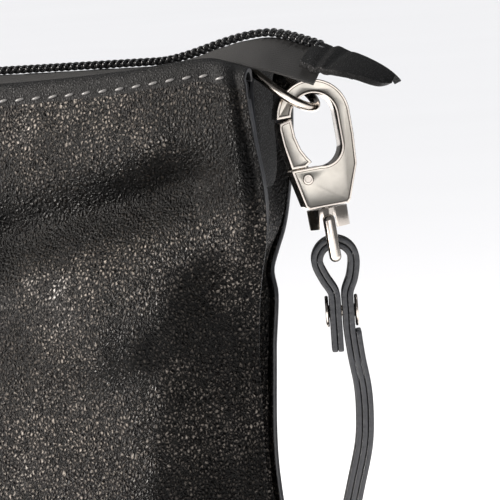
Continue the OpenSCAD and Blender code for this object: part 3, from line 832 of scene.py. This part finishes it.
hook_face = Vector((0.557948, -0.829491, 0.0252877))
hook = machined("clasp_body", "snap_hook_body", "clasp", 0.42, satin, polished, hook_face)
machined("clasp_gate", "snap_hook_gate", "gate", 0.3, satin, polished, hook_face)
machined("swivel_eye", "swivel_eye_bow", "swivel", 0.25, polished)
machined("side_ring", "d_ring", "ring", 0, polished)
machined("zip_slider_body", "slider", "slider", 0.2, polished)
machined("zip_slider_crown", "slider_crown", "slider", 0.2, polished)
machined("zip_pull_link", "pull_link", "pull", 0, polished)
machined("strap_rivet", "tube_rivet", "strap", 0.28, polished)
machined("hand_loop_rivet", "tube_rivet_far", "strap", 0.28, polished)
for node in ("gate_pin", "gate_spring", "swivel_stem", "zip_top_stops"):
    for slot in nodes[node].material_slots:
        slot.material = polished
print("hook faces:", len(hook.data.polygons))

# %% [markdown]
# ## Ring keeper
# The keeper is one leather strip folded over the ring's bar and sewn to the gusset, with painted
# edges and a round end. The sheet's half-width shrinks towards its ends to make the round.

# %% Ring keeper
bar_at, keeper_t, keeper_half = Vector((102.575, 0, 144.1)), 0.9, 5.5


def laid_strip(name, route, half_width, thickness, into_row, finishes, bevel, round_ends=0.0, across=4):
    lengths = [0.0]
    for a, b in zip(route, route[1:]):
        lengths.append(lengths[-1] + (b - a).length)

    def place(u, v):
        k = round(u * (len(route) - 1))
        s = min(lengths[k], lengths[-1] - lengths[k])
        half = half_width
        if round_ends and s < round_ends:
            half = max(half_width * math.sqrt(1 - ((round_ends - s) / round_ends) ** 2), 0.25)
        return into_row(route[k], (2 * v - 1) * half)

    obj = laid_sheet(name, len(route) - 1, across, place)
    print(name, "length, mm:", round(lengths[-1], 1))
    return skin(obj, thickness, 0, *finishes, bevel=bevel)


half = keeper_t / 2 + 0.025
keeper_leg = [-25, -24.6, -24, -23, -21.5, -19.5, -10, -5.4]
keeper_line = ([(-half, z) for z in keeper_leg] + [(-half - 0.3, -3.2)] + arc((0, 0), 1.7, 210, -30, 14)
               + [(half + 0.3, -3.2)] + [(half, z) for z in reversed(keeper_leg)])
keeper = laid_strip("keeper", spline(keeper_line, 3), keeper_half, keeper_t * 0.94,
                    lambda p, w: bar_at + Vector((p[0], w, p[1])), (fine_grained, edge_finish), 0.2,
                    round_ends=5.5)
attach(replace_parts(keeper, "ring_keeper"), "bag")

# %% [markdown]
# ## Wrist strap
# The strap is a folded core of two plies round the swivel's eye, backed by a third ply below the
# rivet. Each ply has its own painted, rounded edge, so dark grooves show between them. The far end
# turns back into a hand loop, and lies on the floor behind.

# %% Strap route
strap_turn = math.radians(20)
loop_at = Vector((115.701, 1.89041, 103.659))
core_t, backing_t, cap_h, limb_x = 2.4, 1.1, 0.7, 0.6
left_x, right_x = limb_x - 0.1 - core_t / 2, limb_x + 0.1 + core_t / 2
lie, stack, end_x, floor_z = core_t / 2 + 0.02, core_t + backing_t + 0.1, 46, -loop_at.z
tail_points = [(left_x, -18.4), (left_x, -14.4), (left_x, -10.4), (left_x, -7.2), (left_x - 0.4, -5.8),
               (-2.4, -3.6)]
loop_points = arc((0, 0), 3.7, 190, -10, 6)
strand_points = [(3.1, -3.6), (right_x + 0.3, -5.8), (right_x, -7.2), (right_x, -10.4), (right_x, -14.4),
                 (2.4, -20), (3.2, -26), (3.2, -32), (2.5, -38), (0.2, -46.5)]
lying_points = [(-3, 45), (-4, 34), (-2.5, 24), (2, 15), (9, 8.2), (19, 3.8), (31, lie + 1),
                (end_x, lie + cap_h + 0.15), (62, lie + 0.4), (80, lie), (100, lie), (115, lie + 0.2),
                (124, 4.2), (128, 10), (125, 15.6), (117, 18.4), (104, 17.6), (88, 14.6), (72, 10.8),
                (58, lie + stack + cap_h + 0.5), (end_x, lie + stack + cap_h + 0.15),
                (end_x - 7, lie + stack + cap_h + 0.15)]
route_points = tail_points + loop_points + strand_points + [(x, y + floor_z) for x, y in lying_points]
route = spline(route_points, 5)


def side_step(line, k):
    run = (line[min(k + 1, len(line) - 1)] - line[max(k - 1, 0)]).normalized()
    return Vector((-run.y, run.x))


def shifted(line, d):
    return [p + side_step(line, k) * d for k, p in enumerate(line)]


def in_strap(p, w):
    return loop_at + Vector((p[0] * math.cos(strap_turn) + w * math.sin(strap_turn),
                             p[0] * math.sin(strap_turn) - w * math.cos(strap_turn), p[1]))


# %% Strap plies
backing_from, backing_to = 5 * (len(tail_points) + len(loop_points) + 4), 5 * (len(route_points) - 4) + 2
plies = []
for name, shift in (("strap_outer_ply", -core_t / 4), ("strap_inner_ply", core_t / 4)):
    plies.append(laid_strip(name, shifted(route, shift), 5, 1.16, in_strap, (fine_grained, edge_finish), 0.3))
backing_line = shifted(route, core_t / 2 + 0.025 + backing_t / 2)[backing_from:backing_to + 1]
backing = laid_strip("strap_backing_ply", backing_line, 5, backing_t, in_strap, (fine_grained, edge_finish), 0.3)
for ply in plies:
    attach(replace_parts(ply, "strap_core"), "strap")
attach(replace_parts(backing, "strap_backing"), "strap")

# %% [markdown]
# ## Leather zip pull
# The pull is a short strip folded through the slider's link, with its two plies sewn flat together.

# %% Zip pull
pull_at = Vector((-92 - 13, 0, 148.75))
pull_line = ([(-25.5, 0.56), (-20, 0.56), (-13, 0.56), (-4, 0.6)] + arc((0, 0), 1.25, 140, -140, 12)
             + [(-4, -0.6), (-13, -0.56), (-20, -0.56), (-25.5, -0.56)])
pull_strip = laid_strip("zip_pull_strip", spline(pull_line, 3), 2.2, 0.9,
                        lambda p, w: pull_at + Vector((p[0], w, p[1])), (fine_grained, edge_finish), 0.18,
                        round_ends=1.6)
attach(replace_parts(pull_strip, "zip_pull_tab"), "pull")

# %% [markdown]
# ## Floor and light
# The pouch stands on a plain pale floor that runs far back. A strong light from the upper left rakes
# over the leather, a wide weak one from the right fills the metal, and the pale sky does the rest.

# %% Floor and light
clear_selection()
bpy.ops.mesh.primitive_plane_add(size=60, location=(0, 0, 0))
floor = named("floor")
floor_finish = Finish("pale_floor", Roughness=0.9)
floor_speck = floor_finish.clouds(floor_finish.place(), 400.0)
floor_colour = floor_finish.mixed(floor_speck, (0.84, 0.84, 0.84, 1), (0.87, 0.87, 0.87, 1))
dressed(floor, floor_finish.paint(Base_Color=floor_colour))


def soft_light(name, place, aim, size, power, warmth=(1, 1, 1)):
    data = bpy.data.lights.new(name, "AREA")
    data.shape, data.size, data.energy, data.color = "SQUARE", size, power, warmth
    lamp = bpy.data.objects.new(name, data)
    bpy.context.scene.collection.objects.link(lamp)
    lamp.matrix_world = (Matrix.Translation(place)
                         @ (Vector(aim) - Vector(place)).to_track_quat("-Z", "Y").to_matrix().to_4x4())


soft_light("key_light", (-0.74, -0.42, 0.44), (0.08, 0, 0.1), 0.26, 38, (1, 0.95, 0.9))
soft_light("side_light", (0.8, -0.7, 0.2), (0.1, 0, 0.12), 0.5, 0.75, (0.98, 0.98, 1))
soft_light("top_light", (0.12, 0.1, 0.9), (0.08, 0, 0.14), 0.25, 4)
world = bpy.data.worlds.new("pale_studio")
world.use_nodes = True
sky = world.node_tree
sky_light = sky.nodes["Background"]
sky_light.inputs["Color"].default_value = (0.98, 0.98, 1, 1)
ray = sky.nodes.new("ShaderNodeLightPath")
level = sky.nodes.new("ShaderNodeMapRange")
level.inputs["To Min"].default_value, level.inputs["To Max"].default_value = 1.15, 0.16
sky.links.new(ray.outputs["Is Glossy Ray"], level.inputs["Value"])
sky.links.new(level.outputs[0], sky_light.inputs["Strength"])
bpy.context.scene.world = world
bpy.context.scene.view_settings.view_transform = "Standard"
